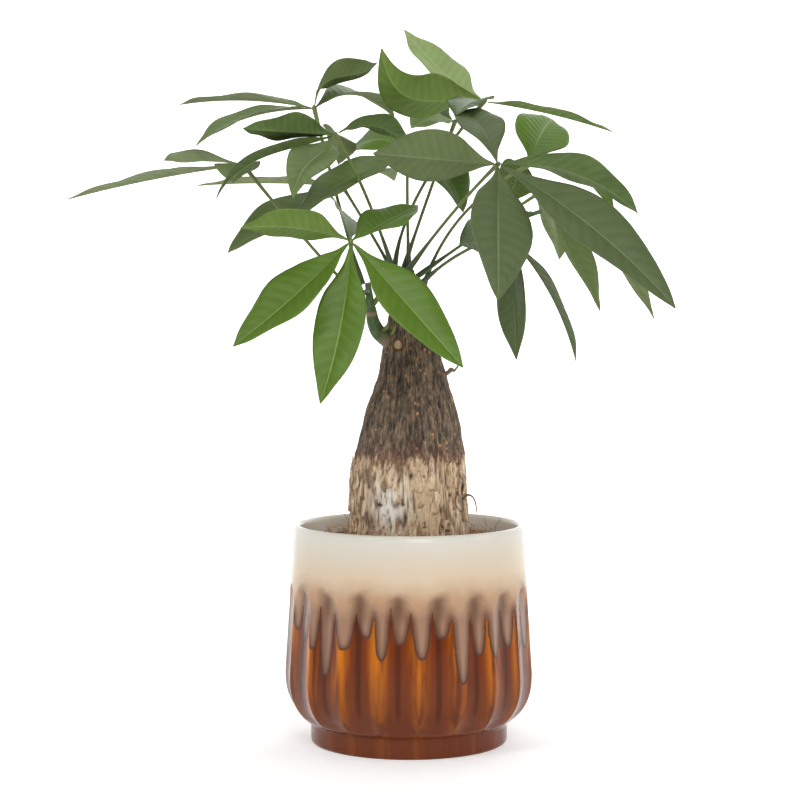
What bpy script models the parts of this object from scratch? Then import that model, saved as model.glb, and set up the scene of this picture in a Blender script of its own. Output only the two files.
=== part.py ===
"""A potted money tree: a bottle-shaped stump in coir, twelve palmate leaves and a fluted glazed pot.

Metres, +Z up. The origin is the centre of the pot's flat foot, and -Y is the plant's front.
Each leaf is a petiole with its leaflets spread round the petiole's tip, each a solid of its own.
"""

import math
from dataclasses import dataclass

import bmesh
import bpy
from mathutils import Matrix, Vector

MM = 0.001
GAP = 0.35  # clearance between neighbouring solids, in mm like every size below

# Pot: a turned wall with flutes pressed into its side.
POT_HEIGHT = 138.0
FOOT_RADIUS = 61.5
FOOT_HEIGHT = 12.5
BELLY_RADIUS = 78.5
BELLY_HEIGHT = 45.0
RIM_RADIUS = 72.6
WALL = 4.6
FLOOR_TOP = 9.0
FLUTES = 19
FLUTE_TURN = math.radians(14.8)
FLUTE_DEPTH = 2.6
FLUTE_TOP = 102.5
POINTS_PER_FLUTE = 6

# Growing medium: coir that fills the pot to just under the rim.
SOIL_TOP = 126.5
SOIL_CROWN = 2.5
TRUNK_SINK = 36.0

# Stump: (height, half width, sideways shift) of its sections above the soil.
TRUNK_SECTIONS = (
    (128.0, 39.0, -1.0),
    (140.0, 37.6, -0.5),
    (165.0, 36.8, -1.2),
    (184.0, 34.3, 0.4),
    (208.0, 29.6, 1.2),
    (231.0, 21.6, 1.9),
    (244.0, 18.8, 1.1),
    (256.0, 15.6, 0.5),
    (270.0, 12.4, -0.4),
    (281.0, 9.0, -1.0),
    (292.0, 7.0, -2.0),
    (299.0, 5.2, -2.0),
)
TRUNK_SIDES = 20
TRUNK_DEPTH_RATIO = 0.94

# Leaves.
HUB_RADIUS = 1.6
LEAFLET_START = 2.2
BLADE_THICKNESS = 0.7
STALK_HALF_WIDTH = 0.45
BLADE_FOLD = math.radians(14)
# Share of the full width at shares of the length: wedge-shaped base, fullest halfway, drawn tip.
BLADE_OUTLINE = (
    (0.0, 0.03), (0.1, 0.18), (0.2, 0.47), (0.3, 0.8), (0.4, 0.96), (0.5, 1.0),
    (0.6, 0.94), (0.7, 0.8), (0.8, 0.6), (0.9, 0.33), (0.96, 0.16), (1.0, 0.03),
)
PETIOLE_RADIUS = 1.0
PULVINUS_RADIUS = 1.7
PETIOLE_FOOT_RADIUS = 0.9
PETIOLE_SIDES = 6
PETIOLE_STEPS = 12


@dataclass(frozen=True)
class Leaflet:
    """A blade by its compass heading, its tilt up from level, its length and its width.

    The arch is how far the midrib rises over its chord at one and two thirds of its length,
    and the roll turns the blade about its midrib.
    """

    heading: float
    tilt: float
    length: float
    width: float
    arch: tuple
    roll: float


@dataclass(frozen=True)
class Leaf:
    """A palmate leaf: where its petiole leaves the stem, how it travels, and its leaflets."""

    base: tuple
    bend: tuple
    hub: tuple
    leaflets: tuple


LEAVES = {
    "front_left": Leaf(
        (-26, -9.6, 284), (-33, -42, 291), (-35, -70, 315),
        (
            Leaflet(201, 6, 69, 28, (4, 4), 40),
            Leaflet(196, -41, 95, 38, (-2, -2), -35),
            Leaflet(238, -71, 101, 32, (-6, -6), -20),
            Leaflet(350, -48, 101, 34, (0, 0), 50),
            Leaflet(55, 18, 74, 30, (0, 0), 15),
            Leaflet(98, 16, 78, 28, (4, 4), 45),
        ),
    ),
    "front_right": Leaf(
        (-1, -6.6, 297), (26, -38, 332), (52, -80, 360),
        (
            Leaflet(195, 4, 76, 36, (0, 0), 60),
            Leaflet(111, 29, 73, 30, (8, 8), -5),
            Leaflet(12, -18, 91, 36, (10, 10), -20),
            Leaflet(339, -38, 137, 38, (6, 6), 40),
            Leaflet(268, -59, 93, 42, (4, 4), -28),
        ),
    ),
    "top_right": Leaf(
        (-9.2, 2.6, 296), (6, 17, 346), (48, 25, 405),
        (
            Leaflet(144, 38, 80, 32, (-4, -4), -15),
            Leaflet(205, 23, 78, 38, (-2, -33), 45),
            Leaflet(256, -10, 82, 30, (2, 4), 0),
            Leaflet(346, -14, 85, 32, (2, 2), 0),
        ),
    ),
    "top_left": Leaf(
        (-29.0, -4, 289), (-43, 5, 335), (-60, 18, 400),
        (
            Leaflet(160, 3, 94, 34, (4, 4), -5),
            Leaflet(214, -17, 89, 30, (6, 8), -5),
            Leaflet(36, 33, 58, 30, (18, -5), -35),
            Leaflet(52, -1, 82, 32, (12, 12), 10),
        ),
    ),
    "upper_left": Leaf(
        (-8.8, -4, 294), (-26, -23, 342), (-45, -40, 380),
        (
            Leaflet(216, 1, 66, 30, (0, 0), 30),
            Leaflet(248, -33, 74, 28, (-4, 12), -20),
            Leaflet(197, -28, 84, 30, (2, 14), 10),
            Leaflet(18, -10, 49, 26, (10, 10), -20),
            Leaflet(90, -13, 66, 26, (6, 6), 35),
        ),
    ),
    "far_left": Leaf(
        (-28, -6.6, 278), (-58, -9, 309), (-103, -15, 363),
        (
            Leaflet(178, -11, 112, 36, (2, 2), -5),
            Leaflet(134, 4, 79, 28, (2, 0), 15),
            Leaflet(262, -24, 30, 30, (2, 4), 0),
        ),
    ),
    "back_left": Leaf(
        (-7.2, 5.6, 291.5), (-27, 26, 326), (-43, 45, 352),
        (
            Leaflet(209, -28, 92, 38, (2, 2), -20),
            Leaflet(160, 1, 103, 34, (2, 2), -5),
            Leaflet(61, 5, 69, 34, (8, 8), 10),
        ),
    ),
    "middle": Leaf(
        (0, 6.4, 298), (-1, 8, 335), (-1, 10, 372),
        (
            Leaflet(209, -26, 85, 34, (2, 2), -20),
            Leaflet(327, -43, 56, 34, (8, 8), 15),
            Leaflet(126, 4, 64, 34, (8, 6), -40),
        ),
    ),
    "back_right": Leaf(
        (5.4, 1, 294), (44, 24, 321), (88, 50, 350),
        (
            Leaflet(313, -58, 92, 32, (0, 0), -10),
            Leaflet(78, -32, 84, 32, (6, 6), 30),
            Leaflet(6, -49, 111, 36, (6, 6), -10),
        ),
    ),
    "low_right": Leaf(
        (6.2, -4.6, 288), (32, -3, 308), (62, 5, 320),
        (
            Leaflet(286, -77, 80, 26, (4, 4), 60),
            Leaflet(7, -61, 91, 34, (6, 6), 5),
            Leaflet(242, -6, 68, 32, (0, -1), -50),
            Leaflet(56, 20, 42, 26, (4, 4), 0),
        ),
    ),
    "back_middle": Leaf(
        (-4.2, 6.6, 296.5), (12, 34, 344), (30, 60, 394),
        (
            Leaflet(221, -8, 38, 30, (4, 4), -25),
            Leaflet(138, 13, 53, 30, (4, 6), -15),
        ),
    ),
    "upper_right": Leaf(
        (7.7, 4.0, 281.5), (32, 28, 330), (78, 55, 366),
        (
            Leaflet(71, 30, 67, 40, (4, 4), 30),
            Leaflet(112, -39, 36, 30, (6, 4), 45),
            Leaflet(7, -26, 63, 34, (10, 8), -10),
        ),
    ),
}


def clear_scene():
    for thing in list(bpy.data.objects):
        bpy.data.objects.remove(thing, do_unlink=True)


def material(name, colour, roughness, metallic=0.0):
    made = bpy.data.materials.new(name)
    made.use_nodes = True
    shader = made.node_tree.nodes["Principled BSDF"]
    shader.inputs["Base Color"].default_value = (*colour, 1.0)
    shader.inputs["Roughness"].default_value = roughness
    shader.inputs["Metallic"].default_value = metallic
    return made


def add_object(name, mesh_bm, finish, parent):
    """Turns a bmesh in millimetres into an object in metres, smooth but for its sharp edges."""
    bmesh.ops.transform(mesh_bm, matrix=Matrix.Scale(MM, 4), verts=mesh_bm.verts)
    bmesh.ops.recalc_face_normals(mesh_bm, faces=mesh_bm.faces)
    mesh = bpy.data.meshes.new(name)
    mesh_bm.to_mesh(mesh)
    mesh_bm.free()
    mesh.shade_smooth()
    mesh.set_sharp_from_angle(angle=math.radians(40))
    mesh.materials.append(finish)
    made = bpy.data.objects.new(name, mesh)
    made.parent = parent
    bpy.context.scene.collection.objects.link(made)
    return made


def loft(sections):
    """A closed solid through rings of equally many points, capped at both ends."""
    bm = bmesh.new()
    rings = [[bm.verts.new(point) for point in section] for section in sections]
    count = len(rings[0])
    for lower, upper in zip(rings, rings[1:]):
        for i in range(count):
            j = (i + 1) % count
            bm.faces.new((lower[i], lower[j], upper[j], upper[i]))
    bm.faces.new(rings[0][::-1])
    bm.faces.new(rings[-1])
    return bm


def smoothstep(low, high, value):
    t = min(max((value - low) / (high - low), 0.0), 1.0)
    return t * t * (3 - 2 * t)


# Pot


def pot_radius(height):
    """The outer wall's radius without flutes: straight foot, tight curve under the belly, long taper."""
    if height <= FOOT_HEIGHT:
        return FOOT_RADIUS + 0.6 * smoothstep(0, 2, height)
    if height < BELLY_HEIGHT:
        rise = (height - FOOT_HEIGHT) / (BELLY_HEIGHT - FOOT_HEIGHT)
        return FOOT_RADIUS + (BELLY_RADIUS - FOOT_RADIUS) * (1 - (1 - rise) ** 2.6) ** 0.8
    fall = (height - BELLY_HEIGHT) / (POT_HEIGHT - BELLY_HEIGHT)
    return BELLY_RADIUS - (BELLY_RADIUS - RIM_RADIUS) * fall


def flute_depth(angle, height):
    """How far a flute sinks the wall: nothing on its ridges, most between them, arched at its top."""
    turn = (angle + math.pi / 2 + FLUTE_TURN) * FLUTES / (2 * math.pi)
    across = abs((turn % 1.0) - 0.5) * 2
    valley = math.cos(across * math.pi / 2) ** 0.8
    top = FLUTE_TOP - 10.0 * across**2
    fade = smoothstep(FOOT_HEIGHT, FOOT_HEIGHT + 9, height) * (1 - smoothstep(top - 9, top, height))
    return FLUTE_DEPTH * valley * fade


def ring(radius_at, height, points):
    """One level ring of the pot or the soil, with a radius that may vary with the angle."""
    angles = (2 * math.pi * i / points - math.pi / 2 - FLUTE_TURN for i in range(points))
    return [(radius_at(a) * math.cos(a), radius_at(a) * math.sin(a), height) for a in angles]


def inner_radius(height):
    """The pot's inner wall, which follows the outer one above the belly and narrows to the floor."""
    if height >= BELLY_HEIGHT:
        return RIM_RADIUS - WALL
    return RIM_RADIUS - WALL - 8.0 * (1 - (height - FLOOR_TOP) / (BELLY_HEIGHT - FLOOR_TOP)) ** 1.6


def build_pot(parent):
    points = FLUTES * POINTS_PER_FLUTE
    heights = (0.0, 2.0, FOOT_HEIGHT, 15, 18, 23, 30, 38, BELLY_HEIGHT, 62, 76, 84, 89, 94, 100, 118, 134.5)
    sections = [
        ring(lambda a, h=height: pot_radius(h) - flute_depth(a, h), height, points)
        for height in heights
    ]
    lip = ((RIM_RADIUS - 0.4, 137.0), (RIM_RADIUS - 1.6, POT_HEIGHT), (RIM_RADIUS - 3.0, POT_HEIGHT))
    inside = ((RIM_RADIUS - WALL, 136.6),) + tuple(
        (inner_radius(height), height) for height in (BELLY_HEIGHT, 24.0, 14.0, FLOOR_TOP)
    )
    for radius, height in lip + inside:
        sections.append(ring(lambda a, r=radius: r, height, points))
    glaze = material("glazed_stoneware", (0.42, 0.16, 0.05), 0.15)
    return add_object("pot", loft(sections), glaze, parent)


# Stump and growing medium


def trunk_outline(half_width, shift, height, grow=0.0):
    """A section of the stump, slightly lobed and a little deeper than a circle would be."""
    points = []
    for i in range(TRUNK_SIDES):
        a = 2 * math.pi * i / TRUNK_SIDES
        lobe = 1 + 0.018 * math.sin(3 * a + 0.7) * smoothstep(260, 200, height)
        r = half_width * lobe + grow
        points.append((shift + r * math.cos(a), TRUNK_DEPTH_RATIO * r * math.sin(a), height))
    return points


def build_trunk(parent):
    """The stump with the green stem it grew at its top and the side shoot on its left shoulder."""
    low, half_width, shift = TRUNK_SECTIONS[0]
    sections = [trunk_outline(half_width, shift, low - TRUNK_SINK)]
    sections += [trunk_outline(w, x, z) for z, w, x in TRUNK_SECTIONS]
    shoot = tube(
        ((-11, -4, 246), (-18, -5, 255), (-22, -6, 266), (-23, -6, 272), (-24.5, -6, 282), (-26, -6, 290)),
        (4.0, 4.2, 4.0, 3.0, 2.6, 1.9),
        10,
    )
    bark = material("bark", (0.13, 0.09, 0.06), 0.85)
    trunk = add_object("trunk", loft(sections), bark, parent)
    side = add_object("side_shoot_form", shoot, bark, parent)
    join(trunk, side)
    return trunk


def join(body, addition):
    """Unites a helper solid with a body, and hides the helper."""
    union = body.modifiers.new("join_" + addition.name, "BOOLEAN")
    union.operation = "UNION"
    union.solver = "EXACT"
    union.object = addition
    addition.hide_render = True
    addition.display_type = "WIRE"


def build_soil(parent):
    """Coir packed round the stump: a full pot of it, with a socket where the stump stands."""
    points = TRUNK_SIDES * 2
    top_height, half_width, shift = TRUNK_SECTIONS[0]
    socket = top_height - TRUNK_SINK - GAP

    def round_ring(radius, height):
        return [
            (radius * math.cos(2 * math.pi * i / points), radius * math.sin(2 * math.pi * i / points), height)
            for i in range(points)
        ]

    def socket_ring(height):
        widened = trunk_outline(half_width + 0.6, shift, height, GAP + 0.4)
        ends = widened + widened[:1]
        out = []
        for a, b in zip(ends, ends[1:]):
            out += [a, tuple((p + q) / 2 for p, q in zip(a, b))]
        return out

    sections = [
        round_ring(inner_radius(FLOOR_TOP) - 1.2, FLOOR_TOP + GAP),
        round_ring(inner_radius(14.0) - 1.0, 14.0),
        round_ring(inner_radius(24.0) - 1.0, 24.0),
        round_ring(inner_radius(BELLY_HEIGHT) - 0.8, BELLY_HEIGHT),
        round_ring(inner_radius(SOIL_TOP) - 0.8, SOIL_TOP - 1.5),
        round_ring(inner_radius(SOIL_TOP) - 6.0, SOIL_TOP),
        round_ring(52.0, SOIL_TOP + 0.6),
        [(x, y, SOIL_TOP + SOIL_CROWN) for x, y, z in socket_ring(SOIL_TOP)],
        socket_ring(socket),
    ]
    coir = material("coir", (0.16, 0.08, 0.045), 0.95)
    return add_object("soil", loft(sections), coir, parent)


# Leaves


def tube(points, radii, sides):
    """A tapering closed tube through the given points."""
    centres = [Vector(point) for point in points]
    sections = []
    across = Vector((1, 0, 0))
    for i, centre in enumerate(centres):
        along = (centres[min(i + 1, len(centres) - 1)] - centres[max(i - 1, 0)]).normalized()
        across = (across - along * across.dot(along)).normalized()
        over = along.cross(across)
        sections.append(
            [
                centre + radii[i] * (across * math.cos(a) + over * math.sin(a))
                for a in (2 * math.pi * k / sides for k in range(sides))
            ]
        )
    return loft(sections)


def petiole_points(leaf):
    """Points along a petiole: a smooth curve that passes through its bend."""
    start, bend, end = (Vector(p) for p in (leaf.base, leaf.bend, leaf.hub))
    pull = 2 * bend - (start + end) / 2
    steps = (i / PETIOLE_STEPS for i in range(PETIOLE_STEPS + 1))
    points = [(1 - t) ** 2 * start + 2 * (1 - t) * t * pull + t * t * end for t in steps]
    ahead = (end - pull).normalized()
    return points + [end + ahead * HUB_RADIUS * 0.5, end + ahead * HUB_RADIUS * 0.85]


def petiole_radii():
    """Thick at the pulvinus on the stem, slender on the way, a small knob at the leaflets."""
    radii = [PETIOLE_FOOT_RADIUS]
    for i in range(1, PETIOLE_STEPS + 1):
        t = i / PETIOLE_STEPS
        swell = (PULVINUS_RADIUS - PETIOLE_RADIUS) * (1 - smoothstep(0.06, 0.26, t))
        knob = (HUB_RADIUS - PETIOLE_RADIUS) * smoothstep(0.86, 1.0, t)
        radii.append(PETIOLE_RADIUS + swell + knob)
    return radii + [HUB_RADIUS * 0.9, HUB_RADIUS * 0.5]


def leaflet_frame(leaflet):
    """Unit vectors along the chord, across the level blade and up from it."""
    heading, tilt = math.radians(leaflet.heading), math.radians(leaflet.tilt)
    along = Vector(
        (math.cos(heading) * math.cos(tilt), math.sin(heading) * math.cos(tilt), math.sin(tilt))
    )
    across = Vector((-math.sin(heading), math.cos(heading), 0.0))
    return along, across, along.cross(across)


def midrib_controls(hub, leaflet):
    """The four control points of the midrib, whose inner two the arch lifts off the chord."""
    along, _, up = leaflet_frame(leaflet)
    start = Vector(hub)
    end = start + along * leaflet.length
    first = start + along * leaflet.length * 0.33 + up * leaflet.arch[0] * 1.33
    second = start + along * leaflet.length * 0.67 + up * leaflet.arch[1] * 1.33
    return start, first, second, end


def midrib(controls, t):
    """A point of the midrib and its direction there."""
    start, first, second, end = controls
    s = 1 - t
    point = s**3 * start + 3 * s * s * t * first + 3 * s * t * t * second + t**3 * end
    slope = 3 * s * s * (first - start) + 6 * s * t * (second - first) + 3 * t * t * (end - second)
    return point, slope.normalized()


def build_leaflet(name, hub, leaflet, finish, parent):
    """A thin blade folded up a little along its midrib, tapering into a short stalk at the hub."""
    _, across, _ = leaflet_frame(leaflet)
    roll = math.radians(leaflet.roll)
    controls = midrib_controls(hub, leaflet)
    begin = LEAFLET_START / (3 * (controls[1] - controls[0]).length)
    sections = []
    for station, fullness in BLADE_OUTLINE:
        t = begin + (1 - begin) * station
        centre, ahead = midrib(controls, t)
        side = across * math.cos(roll) + ahead.cross(across) * math.sin(roll)
        side = (side - ahead * side.dot(ahead)).normalized()
        face = ahead.cross(side)
        reach = max(leaflet.width * fullness / 2, STALK_HALF_WIDTH)
        rise = face * reach * math.sin(BLADE_FOLD)
        spread = side * reach * math.cos(BLADE_FOLD)
        skin = face * BLADE_THICKNESS / 2
        right, left = centre + spread + rise, centre - spread + rise
        sections.append([right + skin, centre + skin, left + skin, left - skin, centre - skin, right - skin])
    return add_object(name, loft(sections), finish, parent)


def build_leaves(parent):
    blade_finish = material("leaf_blade", (0.09, 0.2, 0.035), 0.45)
    stalk_finish = material("petiole", (0.14, 0.2, 0.06), 0.5)
    for place, leaf in LEAVES.items():
        stalk = tube(petiole_points(leaf), petiole_radii(), PETIOLE_SIDES)
        add_object(place + "_petiole", stalk, stalk_finish, parent)
        for number, leaflet in enumerate(leaf.leaflets, 1):
            build_leaflet(f"{place}_leaflet_{number}", leaf.hub, leaflet, blade_finish, parent)


def main():
    clear_scene()
    plant = bpy.data.objects.new("potted_money_tree", None)
    bpy.context.scene.collection.objects.link(plant)
    build_pot(plant)
    build_soil(plant)
    build_trunk(plant)
    build_leaves(plant)


main()
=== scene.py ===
"""The finished look of a potted money tree: glazed fluted pot, coir, barked stump and palmate leaves.

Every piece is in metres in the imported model's own frame: +Z up, -Y towards the plant's front.
"""

import logging
import math
import random
from dataclasses import dataclass
from enum import Enum

import bpy
import numpy as np
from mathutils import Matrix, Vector, noise


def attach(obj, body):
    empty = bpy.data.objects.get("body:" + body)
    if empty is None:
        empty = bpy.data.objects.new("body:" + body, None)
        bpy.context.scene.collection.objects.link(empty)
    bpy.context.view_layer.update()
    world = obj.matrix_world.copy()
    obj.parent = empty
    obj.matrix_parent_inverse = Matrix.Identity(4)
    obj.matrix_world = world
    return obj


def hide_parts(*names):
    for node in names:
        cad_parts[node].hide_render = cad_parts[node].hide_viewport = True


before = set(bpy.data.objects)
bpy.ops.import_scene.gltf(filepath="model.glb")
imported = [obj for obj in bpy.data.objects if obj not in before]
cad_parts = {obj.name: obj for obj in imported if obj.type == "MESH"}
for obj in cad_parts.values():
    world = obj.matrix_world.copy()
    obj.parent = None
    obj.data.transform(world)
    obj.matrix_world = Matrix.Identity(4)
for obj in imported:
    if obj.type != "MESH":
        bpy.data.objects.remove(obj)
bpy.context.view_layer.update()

LOG = logging.getLogger("money_tree")
MM = 0.001


# Shader maths ---------------------------------------------------------------------------------


class Field:
    """One output of a node tree, on which arithmetic can be written."""

    def __init__(self, graph: "Graph", socket: bpy.types.NodeSocket) -> None:
        """Wraps a socket.

        Args:
            graph: The tree that the socket belongs to.
            socket: The output socket.
        """
        self.graph = graph
        self.socket = socket

    def __add__(self, other: "Field | float") -> "Field":
        """Self plus other."""
        return self.graph.math("ADD", self, other)

    __radd__ = __add__

    def __sub__(self, other: "Field | float") -> "Field":
        """Self minus other."""
        return self.graph.math("SUBTRACT", self, other)

    def __rsub__(self, other: float) -> "Field":
        """Other minus self."""
        return self.graph.math("SUBTRACT", other, self)

    def __mul__(self, other: "Field | float") -> "Field":
        """Self times other."""
        return self.graph.math("MULTIPLY", self, other)

    __rmul__ = __mul__

    def __truediv__(self, other: "Field | float") -> "Field":
        """Self over other."""
        return self.graph.math("DIVIDE", self, other)

    def __pow__(self, other: float) -> "Field":
        """Self to a power."""
        return self.graph.math("POWER", self, other)

    def step(self, low: float, high: float) -> "Field":
        """A smooth step that is 0 at low and 1 at high."""
        node = self.graph.node(
            "ShaderNodeMapRange",
            {"interpolation_type": "SMOOTHSTEP"},
            {"Value": self, "From Min": low, "From Max": high},
        )
        return Field(self.graph, node.outputs["Result"])


class Graph:
    """A material under construction."""

    def __init__(self, name: str) -> None:
        """Starts an empty material.

        Args:
            name: The material's name.
        """
        self.material = bpy.data.materials.new(name)
        self.material.use_nodes = True
        self.tree = self.material.node_tree
        self.tree.nodes.clear()

    def node(self, kind: str, settings: dict | None = None, inputs: dict | None = None) -> bpy.types.Node:
        """Adds a node.

        Args:
            kind: The node's type.
            settings: Its properties, which are set first.
            inputs: Values or fields by the socket's name, identifier or number.

        Returns:
            The node.
        """
        made = self.tree.nodes.new(kind)
        for key, value in (settings or {}).items():
            if key == "stops":
                self._set_stops(made, value)
            else:
                setattr(made, key, value)
        for key, value in (inputs or {}).items():
            socket = self._input(made, key)
            if isinstance(value, Field):
                self.tree.links.new(value.socket, socket)
            else:
                socket.default_value = value
        return made

    @staticmethod
    def _input(node: bpy.types.Node, key: str | int) -> bpy.types.NodeSocket:
        """Finds an input by number, identifier or name."""
        if isinstance(key, int):
            return node.inputs[key]
        for socket in node.inputs:
            if socket.identifier == key:
                return socket
        return node.inputs[key]

    @staticmethod
    def _set_stops(node: bpy.types.Node, stops: tuple) -> None:
        """Gives a ramp its stops, each a position and a colour."""
        elements = node.color_ramp.elements
        while len(elements) < len(stops):
            elements.new(0.5)
        for element, (position, colour) in zip(elements, stops):
            element.position = position
            element.color = (*colour, 1.0)

    def math(self, operation: str, *values: "Field | float") -> Field:
        """A Math node on the values."""
        node = self.node("ShaderNodeMath", {"operation": operation}, dict(enumerate(values)))
        return Field(self, node.outputs[0])

    def ramp(self, factor: Field, *stops: tuple) -> Field:
        """A colour ramp along a field."""
        node = self.node("ShaderNodeValToRGB", {"stops": stops}, {"Fac": factor})
        return Field(self, node.outputs["Color"])

    def mix(self, factor: "Field | float", first: "Field | tuple", second: "Field | tuple") -> Field:
        """The first colour where the factor is 0, the second where it is 1."""
        first, second = ((*c, 1.0) if isinstance(c, tuple) else c for c in (first, second))
        node = self.node(
            "ShaderNodeMix",
            {"data_type": "RGBA"},
            {"Factor_Float": factor, "A_Color": first, "B_Color": second},
        )
        return Field(self, next(s for s in node.outputs if s.identifier == "Result_Color"))

    def place(self) -> Field:
        """Object coordinates."""
        return Field(self, self.node("ShaderNodeTexCoord").outputs["Object"])

    def scaled(self, vector: Field, scale: tuple) -> Field:
        """A vector stretched along each axis."""
        node = self.node("ShaderNodeMapping", None, {"Vector": vector, "Scale": scale})
        return Field(self, node.outputs["Vector"])

    def axes(self, vector: Field) -> tuple:
        """The three numbers of a vector."""
        node = self.node("ShaderNodeSeparateXYZ", None, {"Vector": vector})
        return tuple(Field(self, node.outputs[i]) for i in range(3))

    def noise(self, vector: Field, scale: float, detail: float = 4.0, rough: float = 0.55) -> Field:
        """Soft noise, about 0.5 on average."""
        node = self.node(
            "ShaderNodeTexNoise", None, {"Vector": vector, "Scale": scale, "Detail": detail, "Roughness": rough}
        )
        return Field(self, node.outputs["Fac"])

    def cells(self, vector: Field, scale: float, feature: str = "F1") -> Field:
        """Distance within the cells of a Voronoi pattern."""
        node = self.node("ShaderNodeTexVoronoi", {"feature": feature}, {"Vector": vector, "Scale": scale})
        return Field(self, node.outputs["Distance"])

    def attribute(self, name: str) -> Field:
        """A number stored on the mesh."""
        return Field(self, self.node("ShaderNodeAttribute", {"attribute_name": name}).outputs["Fac"])

    def bump(self, height: Field, strength: float, distance: float) -> Field:
        """A normal tilted by a height."""
        node = self.node(
            "ShaderNodeBump", None, {"Height": height, "Strength": strength, "Distance": distance}
        )
        return Field(self, node.outputs["Normal"])

    def finish(self, **inputs: "Field | float | tuple") -> bpy.types.Material:
        """Ends the tree in one Principled shader.

        Args:
            **inputs: Its sockets, with underscores for spaces.

        Returns:
            The material.
        """
        named = {key.replace("_", " "): value for key, value in inputs.items()}
        shader = self.node("ShaderNodeBsdfPrincipled", None, named)
        output = self.node("ShaderNodeOutputMaterial")
        self.tree.links.new(shader.outputs["BSDF"], output.inputs["Surface"])
        return self.material


# Mesh helpers ---------------------------------------------------------------------------------


def smoothstep(low: float, high: float, value: "float | np.ndarray") -> "float | np.ndarray":
    """0 below low, 1 above high and smooth between."""
    t = np.clip((value - low) / (high - low), 0.0, 1.0)
    return t * t * (3 - 2 * t)


def mesh_object(name: str, points: np.ndarray, faces: list, finish: bpy.types.Material) -> bpy.types.Object:
    """Makes a smooth mesh object.

    Args:
        name: The object's name.
        points: Its vertices in millimetres.
        faces: Its faces as tuples of vertex numbers.
        finish: Its material.

    Returns:
        The object, at the origin.
    """
    mesh = bpy.data.meshes.new(name)
    mesh.from_pydata((np.asarray(points) * MM).tolist(), [], faces)
    mesh.shade_smooth()
    mesh.materials.append(finish)
    mesh.update()
    made = bpy.data.objects.new(name, mesh)
    bpy.context.scene.collection.objects.link(made)
    return made


def store(piece: bpy.types.Object, name: str, values: np.ndarray) -> None:
    """Stores one number for each vertex."""
    layer = piece.data.attributes.new(name, "FLOAT", "POINT")
    layer.data.foreach_set("value", np.asarray(values, np.float32).ravel())


def ring_faces(rings: int, around: int) -> list:
    """Quads between rings of points, with the two ends closed by fans of one face each."""
    faces = [tuple(range(around))[::-1], tuple(range((rings - 1) * around, rings * around))]
    for r in range(rings - 1):
        low, high = r * around, (r + 1) * around
        for i in range(around):
            j = (i + 1) % around
            faces.append((low + i, low + j, high + j, high + i))
    return faces


def slab_faces(rows: int, columns: int) -> list:
    """The faces of a closed thin sheet whose two sides are grids of points, one after the other.

    Args:
        rows: Rows of points on each side.
        columns: Points in a row.

    Returns:
        The faces as tuples of vertex numbers.
    """
    low = rows * columns
    faces = []
    for i in range(rows - 1):
        for j in range(columns - 1):
            a, b, c, d = i * columns + j, (i + 1) * columns + j, (i + 1) * columns + j + 1, i * columns + j + 1
            faces += [(a, b, c, d), (low + d, low + c, low + b, low + a)]
        a, b = i * columns, (i + 1) * columns
        faces.append((low + a, low + b, b, a))
        a, b = a + columns - 1, b + columns - 1
        faces.append((a, b, low + b, low + a))
    for j in range(columns - 1):
        faces.append((j, j + 1, low + j + 1, low + j))
        a = (rows - 1) * columns + j
        faces.append((low + a, low + a + 1, a + 1, a))
    return faces


def dress(piece: bpy.types.Object, slot: str, *nodes: str) -> None:
    """Lets a piece ride on the one body and stand for CAD nodes, whose parts it hides."""
    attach(piece, "root")
    if nodes:
        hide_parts(*nodes)
    LOG.info("%s: %d faces", piece.name, len(piece.data.polygons))


# Pot ------------------------------------------------------------------------------------------


@dataclass(frozen=True)
class Drip:
    """A run of the pale glaze: its angle from the front and its tip's height."""

    angle: float
    tip: float


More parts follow.
